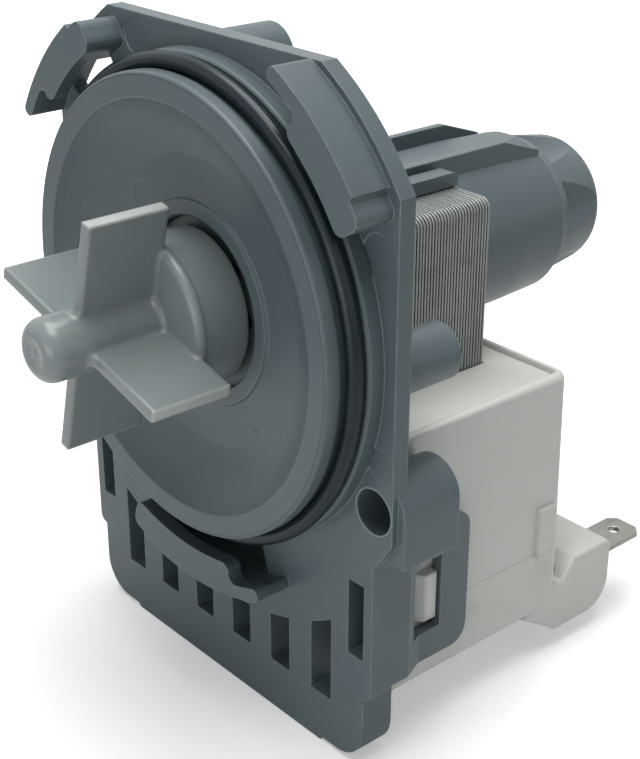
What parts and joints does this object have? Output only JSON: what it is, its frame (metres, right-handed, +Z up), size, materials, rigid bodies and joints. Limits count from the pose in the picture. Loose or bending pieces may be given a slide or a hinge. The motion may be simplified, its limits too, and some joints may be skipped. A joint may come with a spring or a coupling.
{
  "type": "dishwasher drain pump",
  "caption": "Drain pump with bayonet front housing, round sealing spigot, open radial impeller, rotor can, laminated U core and white coil case with blade terminals.",
  "frame": {"origin": "on the pump axis, at the front face of the mounting plate, which is the rear end of the collar that enters the sump", "axes": "+Y along the pump axis, from the impeller towards the motor; +Z up, from the coils towards the rotor can; +X to the right, seen from the impeller side"},
  "size_m": [0.0754, 0.1, 0.0987],
  "materials": {
    "housing_plastic": "satin moulded polypropylene, blue-grey",
    "impeller_plastic": "satin moulded plastic, mid grey",
    "seal_rubber": "smooth black rubber",
    "dog_plastic": "natural acetal",
    "shaft_steel": "ground stainless",
    "rotor_plastic": "black moulded plastic",
    "ferrite": "matt sintered ferrite",
    "bush_ceramic": "dark sintered bush",
    "mount_rubber": "black rubber",
    "holder_plastic": "dark moulded plastic",
    "electrical_steel": "stamped electrical steel sheets, edges bare",
    "bobbin_plastic": "off-white moulded polyester",
    "copper": "enamelled copper wire",
    "tape": "yellow polyester tape",
    "case_plastic": "off-white moulded polyester",
    "tinned_brass": "tinned brass strip"
  },
  "bodies": {
    "pump": {"pump_housing": "housing_plastic", "sump_seal": "seal_rubber", "front_bush": "bush_ceramic", "front_bush_mount": "mount_rubber", "bearing_holder": "holder_plastic", "rear_bush": "bush_ceramic", "rear_bush_mount": "mount_rubber", "lamination_stack": "electrical_steel", "bobbin_left": "bobbin_plastic", "bobbin_right": "bobbin_plastic", "winding_left": "copper", "winding_right": "copper", "winding_tape": "tape", "winding_leads": "copper", "coil_case": "case_plastic", "case_lid": "case_plastic", "terminal_left": "tinned_brass", "terminal_right": "tinned_brass"},
    "rotor": {"rotor_shaft": "shaft_steel", "rotor_hub": "rotor_plastic", "rotor_magnet": "ferrite", "thrust_washers": "dog_plastic", "drive_dog": "dog_plastic"},
    "impeller": {"impeller": "impeller_plastic", "hub_lid": "impeller_plastic"}
  },
  "joints": [
    {"name": "rotor_spin", "type": "hinge", "parent": "pump", "child": "rotor", "pos_m": [0, 0.024, 0], "axis": [0, 1, 0], "continuous": true},
    {"name": "impeller_play", "type": "hinge", "parent": "rotor", "child": "impeller", "pos_m": [0, -0.006, 0], "axis": [0, 1, 0], "range_deg": [-140, 140]}
  ]
}
